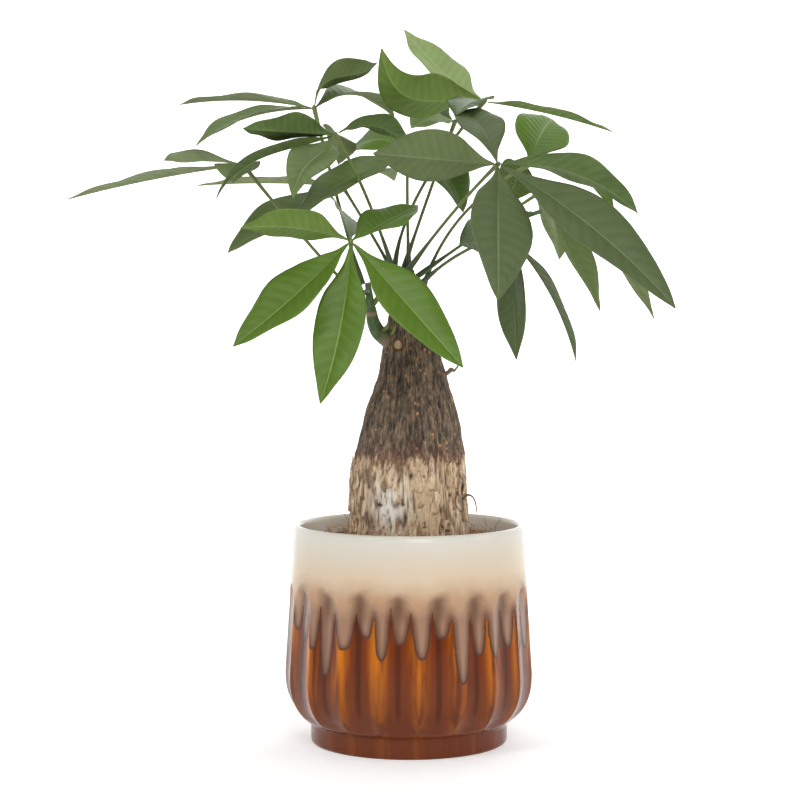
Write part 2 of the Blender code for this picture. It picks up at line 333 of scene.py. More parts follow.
@dataclass(frozen=True)
class ReactiveGlaze:
    """A pale glaze over a glossy amber one, which runs down the flutes with dark edges. Painted shade darkens the
    flute valleys and the band under the flute tops, the ridges carry a painted highlight, and a painted floor
    reflection tints the lower belly.
    """

    white: tuple = (0.66, 0.63, 0.56)
    cream: tuple = (0.66, 0.53, 0.38)
    tan: tuple = (0.50, 0.31, 0.185)
    run: tuple = (0.34, 0.195, 0.125)
    # The dark line round the pale runs, also used as painted shade under the flute tops.
    edge: tuple = (0.055, 0.015, 0.006)
    amber: tuple = (0.165, 0.026, 0.0)
    # A painted highlight colour for the flute ridges, not a glaze of its own.
    bright: tuple = (0.56, 0.155, 0.0)
    # A darker amber for random streaks, also used as painted shade in the flute valleys.
    deep: tuple = (0.05, 0.009, 0.0)
    foot: tuple = (0.125, 0.027, 0.007)
    # A painted reflection of the pale floor, laid on the lower belly.
    floor_reflection: tuple = (0.16, 0.042, 0.013)
    # A dark brown that darkens the pale runs towards their edges, and is also used as painted shade in the flute
    # valleys.
    umber: tuple = (0.15, 0.068, 0.038)

    def build(self) -> bpy.types.Material:
        """Makes the material, which reads the pot's edge, ridge and height attributes."""
        g = Graph("reactive_glaze")
        place = g.place()
        cloud = g.noise(place, 30.0, 4.0)
        fine = g.noise(place, 420.0, 3.0)
        ridge = g.attribute("ridge")
        height = g.attribute("height") + (cloud - 0.5) * 16.0
        edge = g.attribute("edge") + (g.noise(place, 130.0, 2.0) - 0.5) * 0.9
        pale = g.ramp(
            (height - 60.0) / 78.0,
            (0.0, self.run),
            (0.36, self.run),
            (0.5, self.tan),
            (0.66, self.cream),
            (0.96, self.white),
        )
        # hollow marks the flute valleys and shade the band under the flute tops; together they place painted shade,
        # not a glaze colour.
        hollow = (1 - ridge).step(0.25, 0.95)
        shade = height.step(80.0, 95.0) * (1 - height.step(98.0, 106.0))
        # Painted shade: the pale glaze darkened under the flute tops.
        pale = g.mix(hollow * shade * 0.6, pale, self.edge)
        streak = g.noise(g.scaled(place, (1.0, 1.0, 0.06)), 150.0, 3.0)
        amber = g.mix(streak.step(0.46, 0.72) * 0.75, self.amber, self.deep)
        # Painted highlight: the ridges lightened where light catches them, broken up by the streak noise.
        amber = g.mix(ridge.step(0.3, 0.95) * streak.step(0.62, 0.36), amber, self.bright)
        # Painted shade: the amber darkened in the flute valleys below the arch tops.
        amber = g.mix(hollow * height.step(70.0, 92.0) * 0.7, amber, self.deep)
        # Painted reflection: the lower belly tinted pinkish-brown as if mirroring the pale floor.
        amber = g.mix((1 - height.step(34.0, 66.0)) * 0.55, amber, self.floor_reflection)
        # Painted shade: a dark line down each flute valley, between the foot and the flute tops, on the amber.
        painted_crease_shade = (1 - ridge.step(0.04, 0.26)) * height.step(18.0, 32.0) * (1 - height.step(97.0, 105.0))
        amber = g.mix(painted_crease_shade * 0.7, amber, self.deep)
        pale = g.mix((1 - edge.step(0.6, 4.2)) * (1 - height.step(84.0, 100.0)) * 0.6, pale, self.umber)
        # Painted shade: the same valley line on the pale glaze.
        pale = g.mix(painted_crease_shade * 0.45, pale, self.umber)
        amber = g.mix((1 - height.step(14.0, 44.0)) * 0.7, amber, self.foot)
        colour = g.mix(edge.step(-0.35, 0.45), amber, pale)
        dark_line = edge.step(-0.5, 0.1) * (1 - edge.step(0.4, 1.9) * 0.62) * (1 - edge.step(1.6, 5.0))
        colour = g.mix(dark_line * (1 - height.step(82.0, 95.0)) * 0.8, colour, self.edge)
        rough = 0.05 + fine * 0.05 + (1 - height.step(9.0, 14.0)) * 0.16
        ripple = g.noise(g.scaled(place, (1.0, 1.0, 0.5)), 55.0, 2.0)
        return g.finish(
            Base_Color=colour,
            Roughness=rough,
            IOR=1.5,
            Specular_IOR_Level=0.2,
            Normal=g.bump(ripple * 0.8 + fine * 0.05 + edge.step(-1.2, 1.2) * 0.9, 0.14, 0.0012),
        )


@dataclass
class Pot:
    """The fluted pot, turned with a rounded lip, a belly and a straight foot."""

    height: float = 138.0
    foot_radius: float = 61.5
    foot_height: float = 12.5
    belly_radius: float = 78.5
    belly_height: float = 45.0
    rim_radius: float = 72.6
    wall: float = 4.6
    floor: float = 9.0
    flutes: int = 19
    flute_turn: float = math.radians(14.8)
    flute_depth: float = 2.6
    flute_top: float = 102.5
    around: int = 532
    gap_top: float = 95.5

    def radius(self, z: np.ndarray) -> np.ndarray:
        """The outer radius without flutes at each height."""
        foot = self.foot_radius + 0.6 * smoothstep(0, 2, z)
        rise = np.clip((z - self.foot_height) / (self.belly_height - self.foot_height), 0, 1)
        swell = self.belly_radius - self.foot_radius
        under = self.foot_radius + swell * (1 - (1 - rise) ** 2.6) ** 0.8
        fall = (z - self.belly_height) / (self.height - self.belly_height)
        above = self.belly_radius - (self.belly_radius - self.rim_radius) * fall
        return np.where(z <= self.foot_height, foot, np.where(z < self.belly_height, under, above))

    def across(self, angle: np.ndarray) -> np.ndarray:
        """0 in the middle of a flute and 1 on a ridge, by angle from the front."""
        return np.abs(((angle + self.flute_turn) * self.flutes / (2 * math.pi)) % 1.0 - 0.5) * 2

    def sink(self, angle: np.ndarray, z: np.ndarray) -> np.ndarray:
        """How far the flutes sink the wall."""
        across = self.across(angle)
        valley = np.cos(across * math.pi / 2) ** 0.8
        top = self.flute_top - 10.0 * across**2
        fade = smoothstep(self.foot_height, self.foot_height + 9, z) * (1 - smoothstep(0, 5, z - top + 5))
        return self.flute_depth * valley * fade

    def drips(self) -> list:
        """The runs of pale glaze in order round the pot, each an angle in degrees and a tip's height."""
        draw = random.Random(11)
        runs = [
            (-76, 72), (-68, 75), (-58.5, 71), (-51.5, 66), (-43, 51), (-32, 68), (-20, 76), (-13, 63),
            (-4.6, 72.5), (5.8, 64), (15.3, 76), (25, 48), (35, 64), (43, 62), (54.7, 66.5),
        ]  # fmt: skip
        angle = 64.0
        while angle < 276:
            runs.append((angle + draw.uniform(-1.5, 1.5), draw.uniform(50, 76)))
            angle += 9.5
        return [Drip(math.radians(degrees), tip) for degrees, tip in runs]

    def front_of_glaze(self, angle: np.ndarray) -> np.ndarray:
        """The height of the pale glaze's lower edge at each angle: round tips between pointed gaps."""
        runs = self.drips()
        edge = np.empty(angle.shape)
        turn = np.mod(angle - runs[0].angle, 2 * math.pi) + runs[0].angle
        angles = np.array([run.angle for run in runs] + [runs[0].angle + 2 * math.pi])
        tips = np.array([run.tip for run in runs] + [runs[0].tip])
        left = np.clip(np.searchsorted(angles, turn, "right") - 1, 0, len(runs) - 1)
        half = (angles[left + 1] - angles[left]) / 2
        off = (turn - angles[left]) / half
        on_left = off < 1
        tip = np.where(on_left, tips[left], tips[left + 1])
        off = np.where(on_left, off, 2 - off)
        top = self.gap_top + 2.0 * np.sin(left * 2.3)
        rise = 1 - np.sqrt(1 - (0.96 * np.clip(off, 0, 1)) ** 2.8)
        edge[...] = tip + (top - tip) * rise / (1 - math.sqrt(1 - 0.96**2.8))
        return edge

    def edge_distance(self, angle: np.ndarray, z: np.ndarray) -> np.ndarray:
        """Signed distance in mm to the pale glaze's lower edge, positive within the pale glaze."""
        line = np.linspace(-math.pi, math.pi, 5000)
        level = self.front_of_glaze(line)
        curve = np.stack([line * self.belly_radius, level], axis=1)
        out = np.empty(angle.shape)
        spots = np.stack([angle * self.belly_radius, z], axis=1)
        for start in range(0, len(spots), 2000):
            part = spots[start : start + 2000]
            gaps = ((part[:, None, :] - curve[None, :, :]) ** 2).sum(axis=2)
            out[start : start + 2000] = np.sqrt(gaps.min(axis=1))
        return np.where(z > self.front_of_glaze(angle), out, -out)

    def build(self) -> None:
        """Makes the pot in place of its CAD node."""
        outer = np.concatenate(
            [
                np.array([0.0, 0.5, 1.3, 2.4]),
                np.linspace(4, self.foot_height, 6),
                np.linspace(self.foot_height + 0.6, self.belly_height, 34),
                np.linspace(self.belly_height + 1.0, self.height - 3.6, 92),
            ]
        )
        outer_radius = self.radius(outer)
        outer_radius[0] -= 0.9
        outer_radius[1] -= 0.3
        turn = np.linspace(0, math.pi, 11)
        lip_half = self.wall / 2 - 0.1
        lip_radius = self.rim_radius - self.wall / 2 + lip_half * np.cos(turn) + 0.1
        lip_height = self.height - 3.0 + 3.0 * np.sin(turn)
        inner = np.array([self.height - 6, 126, 110, 80, self.belly_height])
        low = np.array([24.0, 14.0, self.floor])
        narrow = 8.0 * (1 - (low - self.floor) / (self.belly_height - self.floor)) ** 1.6
        radii = np.concatenate(
            [outer_radius, lip_radius, np.full(5, self.rim_radius - self.wall), self.rim_radius - self.wall - narrow]
        )
        heights = np.concatenate([outer, lip_height, inner, low])
        angle = np.linspace(-math.pi, math.pi, self.around, endpoint=False)
        a, z = np.meshgrid(angle, heights)
        r = np.repeat(radii[:, None], self.around, axis=1)
        rows = len(outer)
        r[:rows] -= self.sink(a[:rows], z[:rows])
        points = np.stack([r * np.sin(a), -r * np.cos(a), z], axis=2).reshape(-1, 3)
        pot = mesh_object("glazed_pot", points, ring_faces(len(heights), self.around), ReactiveGlaze().build())
        edge = np.full(r.shape, 30.0)
        edge[:rows] = self.edge_distance(a[:rows].ravel(), z[:rows].ravel()).reshape(rows, -1)
        store(pot, "edge", edge)
        store(pot, "ridge", self.across(a))
        shown = z.copy()
        shown[rows + len(lip_height) :] = self.height - 2.0
        store(pot, "height", shown)
        dress(pot, "pot_glaze", "pot")


# Coir -----------------------------------------------------------------------------------------


@dataclass(frozen=True)
class CoirFinish:
    """Red-brown coconut fibre, darker in its hollows: painted shade, since the noise that darkens the colour also
    sinks the bump there.
    """

    dark: tuple = (0.045, 0.018, 0.010)
    middle: tuple = (0.17, 0.072, 0.035)
    light: tuple = (0.36, 0.19, 0.10)

    def build(self, name: str = "coir", lift: float = 0.0) -> bpy.types.Material:
        """Makes the material, lighter by the lift."""
        g = Graph(name)
        place = g.place()
        grain = g.noise(place, 320.0, 6.0, 0.7)
        # Painted shade: the grain's low values are both the darkest colour and the low places of the bump.
        colour = g.ramp(grain + lift, (0.32, self.dark), (0.5, self.middle), (0.72, self.light))
        return g.finish(Base_Color=colour, Roughness=0.92, Normal=g.bump(grain, 0.8, 0.0015))


@dataclass
class Coir:
    """The growing medium: a lumpy bed, with loose fibres strewn on it."""

    outer: float = 67.2
    inner: float = 33.0
    top: float = 127.0
    bottom: float = 118.0

    def surface(self, radius: float, angle: float) -> float:
        """The bed's height, lumpy and a little higher at the stump."""
        x, y = radius * math.cos(angle), radius * math.sin(angle)
        lump = noise.fractal(Vector((x / 9, y / 9, 3.0)), 1.0, 2.0, 4) * 1.5
        return self.top + lump + 1.8 * smoothstep(52, 38, radius)

    def build(self) -> None:
        """Makes the bed in place of the CAD node, short fibres all over it and long stray ones."""
        around = 220
        turns = [2 * math.pi * i / around for i in range(around)]
        points = [(self.outer * math.cos(t), self.outer * math.sin(t), self.bottom) for t in turns]
        for radius in np.linspace(self.outer, self.inner, 44):
            points += [(radius * math.cos(t), radius * math.sin(t), self.surface(radius, t)) for t in turns]
        faces = ring_faces(len(points) // around, around)
        bed = mesh_object("coir_bed", np.array(points), faces, CoirFinish().build())
        dress(bed, "coir", "soil")
        strands = CoirFinish(dark=(0.13, 0.05, 0.02), middle=(0.34, 0.16, 0.075), light=(0.6, 0.38, 0.2))
        skin = strands.build("coir_fibres", 0.08)
        tree = FibreTree().tree
        self.strew(bed, tree, "short_fibres", {"Density": 1.5e5, "Reach": 0.061, "Length": 0.009, "Finish": skin})
        self.strew(
            bed, tree, "long_fibres", {"Density": 2.6e4, "Reach": 0.051, "Length": 0.021, "Seed": 7, "Finish": skin}
        )
        self.stray(skin)

    def strew(self, bed: bpy.types.Object, tree: bpy.types.NodeTree, name: str, inputs: dict) -> None:
        """Strews curved fibres over the bed with Geometry Nodes.

        Args:
            bed: The bed.
            tree: The fibres' node tree.
            name: The new piece's name.
            inputs: The tree's inputs by name.
        """
        carrier = bed.copy()
        carrier.data = bed.data.copy()
        bpy.context.scene.collection.objects.link(carrier)
        modifier = carrier.modifiers.new("strew", "NODES")
        modifier.node_group = tree
        set_inputs(modifier, inputs)
        dress(realised(carrier, name), "coir")

    def stray(self, skin: bpy.types.Material) -> None:
        """Sweeps the stray strands that stand up round the stump, and one that lies across its foot."""
        draw = random.Random(3)
        routes = [((-57, -20, 131), (-44, -30, 140), (-18, -41, 136.5), (6, -42, 130))]
        for _ in range(46):
            turn, radius = draw.uniform(0, 2 * math.pi), draw.uniform(43, 57)
            x, y = radius * math.cos(turn), radius * math.sin(turn)
            reach, rise = draw.uniform(3, 10), draw.uniform(6, 17)
            lean = draw.uniform(0, 2 * math.pi)
            dx, dy = reach * math.cos(lean), reach * math.sin(lean)
            if math.hypot(x + dx, y + dy) > 62 or math.hypot(x + dx, y + dy) < 42:
                dx, dy = -dx, -dy
            root = self.surface(radius, turn) - 1
            routes.append(((x, y, root), (x + 0.3 * dx, y + 0.3 * dy, root + 0.7 * rise), (x + dx, y + dy, root + rise)))
        radii = [np.linspace(0.3, 0.12, len(route)) for route in routes]
        dress(sweep("stray_strands", routes, radii, 5, skin), "coir")


def realised(carrier: bpy.types.Object, name: str) -> bpy.types.Object:
    """Turns what a modifier makes into a plain mesh object and removes the carrier."""
    bpy.context.view_layer.update()
    graph = bpy.context.evaluated_depsgraph_get()
    mesh = bpy.data.meshes.new_from_object(carrier.evaluated_get(graph))
    mesh.name = name
    made = bpy.data.objects.new(name, mesh)
    bpy.context.scene.collection.objects.link(made)
    bpy.data.objects.remove(carrier, do_unlink=True)
    return made


class FibreTree:
    """Geometry Nodes that strew curved fibres over the level faces of a mesh."""

    def __init__(self) -> None:
        """Builds the tree."""
        self.tree = bpy.data.node_groups.new("strew_fibres", "GeometryNodeTree")
        face = self.tree.interface
        face.new_socket("Geometry", in_out="INPUT", socket_type="NodeSocketGeometry")
        for name, value in (("Density", 1e5), ("Reach", 0.06), ("Length", 0.01), ("Girth", 0.00017)):
            face.new_socket(name, in_out="INPUT", socket_type="NodeSocketFloat").default_value = value
        face.new_socket("Seed", in_out="INPUT", socket_type="NodeSocketInt").default_value = 4
        face.new_socket("Finish", in_out="INPUT", socket_type="NodeSocketMaterial")
        face.new_socket("Geometry", in_out="OUTPUT", socket_type="NodeSocketGeometry")
        start = self.add("NodeGroupInput").outputs
        strand = self.strand(start["Length"], start["Girth"])
        normal = self.add("GeometryNodeInputNormal").outputs[0]
        level = self.maths("GREATER_THAN", self.add("ShaderNodeSeparateXYZ", Vector=normal).outputs["Z"], 0.5)
        flat = self.add("ShaderNodeVectorMath", {"operation": "MULTIPLY"})
        self.tree.links.new(self.add("GeometryNodeInputPosition").outputs[0], flat.inputs[0])
        flat.inputs[1].default_value = (1.0, 1.0, 0.0)
        away = self.add("ShaderNodeVectorMath", {"operation": "LENGTH"})
        self.tree.links.new(flat.outputs[0], away.inputs[0])
        near = self.maths("LESS_THAN", away.outputs["Value"], start["Reach"])
        chosen = self.maths("MULTIPLY", level, near)
        scatter = self.add(
            "GeometryNodeDistributePointsOnFaces",
            Mesh=start["Geometry"],
            Selection=chosen,
            Density=start["Density"],
            Seed=start["Seed"],
        )
        spin = self.add("FunctionNodeRandomValue", {"data_type": "FLOAT_VECTOR"})
        spin.inputs["Min"].default_value = (-0.7, -0.5, 0.0)
        spin.inputs["Max"].default_value = (0.7, 0.5, 2 * math.pi)
        size = self.add("FunctionNodeRandomValue", {"data_type": "FLOAT"})
        size.inputs[2].default_value, size.inputs[3].default_value = 0.4, 1.0
        spread = self.add(
            "GeometryNodeInstanceOnPoints",
            Points=scatter.outputs["Points"],
            Instance=strand,
            Rotation=spin.outputs["Value"],
            Scale=size.outputs[1],
        )
        real = self.add("GeometryNodeRealizeInstances", Geometry=spread.outputs["Instances"])
        coat = self.add("GeometryNodeSetMaterial", Geometry=real.outputs["Geometry"], Material=start["Finish"])
        self.tree.links.new(coat.outputs["Geometry"], self.add("NodeGroupOutput").inputs["Geometry"])

    def strand(self, length: bpy.types.NodeSocket, girth: bpy.types.NodeSocket) -> bpy.types.NodeSocket:
        """One bowed strand, three-sided and closed at its ends.

        Args:
            length: The strand's length.
            girth: Its radius.

        Returns:
            The strand's mesh.
        """
        arc = self.add("GeometryNodeCurveQuadraticBezier", Resolution=6)
        for name, along, side, up in (("Start", -0.5, 0, 0), ("Middle", 0.05, 0.25, 0.45), ("End", 0.5, 0, 0.02)):
            corner = self.add("ShaderNodeCombineXYZ")
            for axis, share in zip("XYZ", (along, side, up)):
                self.tree.links.new(self.maths("MULTIPLY", length, share), corner.inputs[axis])
            self.tree.links.new(corner.outputs[0], arc.inputs[name])
        section = self.add("GeometryNodeCurvePrimitiveCircle", Resolution=3, Radius=girth)
        body = self.add("GeometryNodeCurveToMesh", Curve=arc.outputs["Curve"])
        self.tree.links.new(section.outputs["Curve"], body.inputs["Profile Curve"])
        body.inputs["Fill Caps"].default_value = True
        return body.outputs["Mesh"]

    def maths(self, operation: str, *values: "bpy.types.NodeSocket | float") -> bpy.types.NodeSocket:
        """A Math node on sockets or numbers."""
        made = self.add("ShaderNodeMath", {"operation": operation})
        for socket, value in zip(made.inputs, values):
            if isinstance(value, bpy.types.NodeSocket):
                self.tree.links.new(value, socket)
            else:
                socket.default_value = value
        return made.outputs[0]

    def add(self, kind: str, settings: dict | None = None, **inputs: object) -> bpy.types.Node:
        """Adds a node with its settings and its inputs, which are sockets or values."""
        made = self.tree.nodes.new(kind)
        for key, value in (settings or {}).items():
            setattr(made, key, value)
        for key, value in inputs.items():
            socket = made.inputs[key]
            if isinstance(value, bpy.types.NodeSocket):
                self.tree.links.new(value, socket)
            else:
                socket.default_value = value
        return made


# Stump ----------------------------------------------------------------------------------------


@dataclass(frozen=True)
class BarkFinish:
    """Grey-brown fissured bark over a peeling pale foot, turning green at the shoots."""

    # The grain's darkest tone, also painted shade in the fissures and knot holes.
    dark: tuple = (0.020, 0.015, 0.012)
    grey: tuple = (0.125, 0.092, 0.066)
    warm: tuple = (0.29, 0.19, 0.115)
    orange: tuple = (0.56, 0.28, 0.11)
    tan: tuple = (0.56, 0.37, 0.21)
    cream: tuple = (0.78, 0.62, 0.43)
    chalk: tuple = (0.92, 0.87, 0.77)
    # Dark streaks and the scar's ring, also painted shade in the lower fissures.
    umber: tuple = (0.13, 0.065, 0.032)
    plum: tuple = (0.13, 0.048, 0.034)
    green: tuple = (0.07, 0.11, 0.03)

    def build(self) -> bpy.types.Material:
        """Makes the material, which reads the height stored on the mesh."""
        g = Graph("bark")
        place = g.place()
        height = g.attribute("height")
        crack, patch = g.attribute("crack"), g.attribute("patch")
        strip, scar, hole = g.attribute("strip"), g.attribute("scar"), g.attribute("hole")
        tall = g.scaled(place, (1.0, 1.0, 0.3))
        grain = g.noise(tall, 620.0, 6.0, 0.72)
        streak = g.noise(g.scaled(place, (1.0, 1.0, 0.14)), 340.0, 5.0, 0.65)
        blotch = g.noise(place, 60.0, 4.0)
        upper = g.ramp(
            grain * 0.6 + streak * 0.4,
            (0.37, self.dark),
            (0.47, self.grey),
            (0.57, self.warm),
            (0.69, self.tan),
        )
        # Painted shade: the fissures darkened on top of their real grooves.
        upper = g.mix(crack * 0.75, upper, self.dark)
        pores = 1 - g.cells(g.scaled(place, (1.0, 1.0, 0.8)), 230.0).step(0.14, 0.26)
        upper = g.mix(pores * blotch.step(0.47, 0.56), upper, self.orange)
        lower = g.ramp(
            streak * 0.55 + grain * 0.45,
            (0.38, self.umber),
            (0.46, self.tan),
            (0.56, self.cream),
            (0.70, self.chalk),
        )
        lower = g.mix(g.noise(tall, 110.0, 3.0).step(0.55, 0.62) * 0.65, lower, self.umber)
        lower = g.mix(patch * blotch.step(0.3, 0.5) * 0.85, lower, self.chalk)
        # Painted shade: the same darkening of the fissures on the pale lower bark.
        lower = g.mix(crack * 0.9, lower, self.umber)
        smooth = g.mix(grain.step(0.35, 0.7), self.tan, self.cream)
        lower = g.mix(strip, lower, smooth)
        line = height + (streak - 0.5) * 52.0 + (blotch - 0.5) * 26.0
        seam = line.step(176.0, 181.0) * (1 - line.step(183.0, 192.0))
        colour = g.mix(line.step(178.0, 184.0), lower, upper)
        colour = g.mix(seam * 0.55, colour, self.plum)
        # Painted shade: knot holes painted near black, standing in for their depth.
        colour = g.mix(hole, colour, self.dark)
        colour = g.mix(scar.step(0.12, 0.4), colour, self.umber)
        colour = g.mix(scar.step(0.4, 0.6), colour, self.tan)
        colour = g.mix((height + (blotch - 0.5) * 10).step(266.0, 278.0), colour, self.green)
        return g.finish(
            Base_Color=colour,
            Roughness=0.7 + grain * 0.25,
            Normal=g.bump(grain * 0.6 + streak * 0.7, 1.0, 0.0018),
        )


@dataclass
class Stump:
    """The bottle-shaped stump with real fissures, its side shoot, cut tip and small growths."""

    sections: tuple = (
        (116.0, 39.3, -1.0), (128.0, 39.0, -1.0), (140.0, 37.6, -0.5), (165.0, 36.8, -1.2), (184.0, 34.3, 0.4),
        (208.0, 29.6, 1.2), (231.0, 21.6, 1.9), (244.0, 18.8, 1.1), (256.0, 15.6, 0.5), (270.0, 12.4, -0.4),
        (281.0, 9.0, -1.0), (292.0, 7.0, -2.0), (297.5, 5.6, -2.0), (299.0, 3.2, -2.0),
    )
    depth_ratio: float = 0.94
    around: int = 260
    rows: int = 300

    def build(self) -> None:
        """Makes the stump in place of its CAD node, and the small pieces that grow on it."""
        heights, half, shift = (np.array(column) for column in zip(*self.sections))
        z = np.linspace(heights[0], heights[-1], self.rows)
        smooth = np.ones(9) / 9
        width = np.interp(z, heights, half)
        width[4:-4] = np.convolve(width, smooth, "valid")
        middle = np.interp(z, heights, shift)
        a = np.linspace(0, 2 * math.pi, self.around, endpoint=False)
        points = np.empty((self.rows, self.around, 3))
        cracks = np.zeros((self.rows, self.around))
        for row, (level, w, x) in enumerate(zip(z, width, middle)):
            rough = 1.0 - 0.75 * float(smoothstep(262, 284, level))
            peel = float(smoothstep(190, 176, level))
            for k, t in enumerate(a):
                c, s = math.cos(t), math.sin(t)
                lobe = 1 + 0.018 * math.sin(3 * t + 0.7) * float(smoothstep(260, 200, level))
                crack = noise.noise(Vector((c * 11, s * 11, level / 22)))
                fine = noise.noise(Vector((c * 26, s * 26, level / 6)))
                groove = max(0.0, 1 - abs(crack) * 6.0)
                bark = -1.3 * groove + 0.6 * fine + 0.7 * noise.noise(Vector((c * 5, s * 5, level / 14)))
                scale = noise.noise(Vector((c * 7, s * 7, level / 16 + 40)))
                flake = peel * (0.8 if scale > 0.14 else -0.6 + 0.6 * float(smoothstep(0.14, -0.25, scale)))
                r = w * lobe + rough * (bark + flake) - 0.3
                points[row, k] = (x + r * c, self.depth_ratio * r * s, level)
                cracks[row, k] = groove * rough
        marks = self.marks(points)
        points[..., :2] *= 1 - (marks["hole"] * 0.045 + marks["scar"] * 0.02)[..., None]
        points[..., :2] += (np.stack([np.cos(a), np.sin(a)], 1) * 0.5)[None] * marks["strip"][..., None]
        bark = BarkFinish().build()
        stump = mesh_object("barked_stump", points.reshape(-1, 3), ring_faces(self.rows, self.around), bark)
        store(stump, "height", points[..., 2])
        store(stump, "crack", cracks * (1 - marks["strip"]))
        for name, values in marks.items():
            store(stump, name, values)
        dress(stump, "bark", "trunk")
        self.grow_side_shoot(bark)
        self.peel_flakes(bark)

    def marks(self, points: np.ndarray) -> dict:
        """Where the front's marks are: chalky patch, bare strip, cut scar and knot holes.

        Args:
            points: The stump's surface in millimetres.

        Returns:
            For each mark an array from 0 to 1 over the surface.
        """
        x, y, z = (points[..., i] for i in range(3))
        front = (y < 0).astype(float)
        patch = np.exp(-(((x + 12) / 10) ** 2) - ((z - 153) / 15) ** 2) * front * 1.2
        lean = x - 4 - (184 - z) * 0.17
        strip = smoothstep(5.5, 4.5, np.abs(lean)) * smoothstep(134, 138, z) * smoothstep(184, 181, z + lean * 0.9)
        scar = np.exp(-(((x + 7) / 3.0) ** 2) - ((z - 251.5 + 0.25 * np.abs(x + 7)) / 3.2) ** 2) * front
        holes = ((-18.5, 152.7, 2.1, 1.1), (-3.9, 153.3, 1.2, 1.1), (1.1, 171.0, 1.5, 1.9), (9.0, 170.5, 0.7, 0.6),
                 (-2.6, 145.5, 1.2, 4.0), (20.0, 149.0, 0.9, 2.6), (26.0, 158.0, 1.2, 1.4))  # fmt: skip
        hole = sum(np.exp(-(((x - hx) / w) ** 2) - ((z - hz) / h) ** 2) for hx, hz, w, h in holes) * front
        return {
            "patch": np.clip(patch, 0, 1),
            "strip": strip * front,
            "scar": np.clip(scar, 0, 1),
            "hole": np.clip(hole, 0, 1),
        }

    def plain_marks(self, piece: bpy.types.Object, height: float) -> None:
        """Gives a small piece the bark of one height, with no marks."""
        count = len(piece.data.vertices)
        store(piece, "height", np.full(count, height))
        for name in ("crack", "patch", "strip", "scar", "hole"):
            store(piece, name, np.zeros(count))

    def grow_side_shoot(self, bark: bpy.types.Material) -> None:
        """Adds the cut green shoot on the left shoulder, its fork, a dry twig and a rootlet."""
        route = ((-11, -4, 252), (-16, -5, 256), (-20, -6, 260), (-22.6, -6, 266), (-23.4, -6, 271),
                 (-24.3, -6, 277), (-25, -6, 283), (-26, -6, 290))  # fmt: skip
        radii = (5.0, 5.0, 4.7, 4.0, 3.5, 2.7, 2.3, 1.7)
        shoot = sweep("side_shoot", [route], [radii], 16, ShootFinish().build())
        dress(shoot, "bark")
        young = StemFinish(young=(0.12, 0.16, 0.035), old=(0.05, 0.08, 0.02)).build("bud_skin")
        buds = (
            ((-23, -6, 276), (-20.5, -6.5, 279), (-19, -7, 283)),
            ((-16, -9, 260), (-13.5, -11.5, 262.5), (-12.5, -12.5, 266)),
            ((-11, -10, 258), (-9.5, -13.5, 260), (-8.5, -14.5, 264)),
            ((0.5, -3, 296), (1.6, -3.4, 300), (2.5, -3.6, 304)),
        )
        dress(sweep("buds", buds, [(1.8, 1.6, 1.0), (1.7, 1.5, 0.5), (1.5, 1.2, 0.4), (1.6, 1.2, 0.2)], 10, young), "bark")
        twigs = (
            ((21, -3, 231.5), (24.5, -4, 233.6), (26.5, -4, 235.4), (28.4, -4, 234.8), (30.8, -4, 238)),
            ((33, -12, 154), (36.5, -13, 157.3), (40, -14, 155.8), (41.8, -14, 151), (42.4, -14, 146)),
        )
        sizes = [(1.7, 1.3, 1.5, 0.8, 0.4), (0.9, 0.7, 0.5, 0.4, 0.3)]
        twig = sweep("dry_twigs", twigs, sizes, 8, bark)
        self.plain_marks(twig, 225.0)
        dress(twig, "bark")

    def peel_flakes(self, bark: bpy.types.Material) -> None:
        """Adds lifted flakes of bark, each a thin curved sheet rooted in the peeling zone."""
        draw = random.Random(5)
        heights, half, shift = (np.array(column) for column in zip(*self.sections))
        points, faces = [], []
        across, along = 5, 7
        for number in range(40):
            turn = draw.uniform(0, 2 * math.pi) if number else math.pi + 0.25
            middle = draw.uniform(138, 182) if number else 168.0
            wide, tall = draw.uniform(1.4, 3.0), draw.uniform(6.0, 14.0)
            lift = draw.uniform(0.3, 1.2) if number else 1.8
            from_top = draw.random() < 0.6
            base = len(points)
            for side in (0.0, 0.55):
                for i in range(along):
                    v = i / (along - 1)
                    level = middle + (v - 0.5) * tall
                    free = (1 - v) if from_top else v
                    taper = 1 - 0.6 * abs(2 * v - 1) ** 3
                    out = np.interp(level, heights, half) - 0.7 + lift * free**2 + side
                    for k in range(across):
                        u = (k / (across - 1) - 0.5) * taper * wide / 18
                        curl = 0.25 * free * (u * 36 / wide) ** 2
                        r = out - curl + 0.3
                        x = np.interp(level, heights, shift) + r * math.cos(turn + u + 0.04 * math.sin(4 * v + number))
                        y = self.depth_ratio * r * math.sin(turn + u + 0.04 * math.sin(4 * v + number))
                        points.append((x, y, level))
            faces += [tuple(base + n for n in face) for face in slab_faces(along, across)]
        flakes = mesh_object("bark_flakes", np.array(points), faces, bark)
        self.plain_marks(flakes, 160.0)
        dress(flakes, "bark")


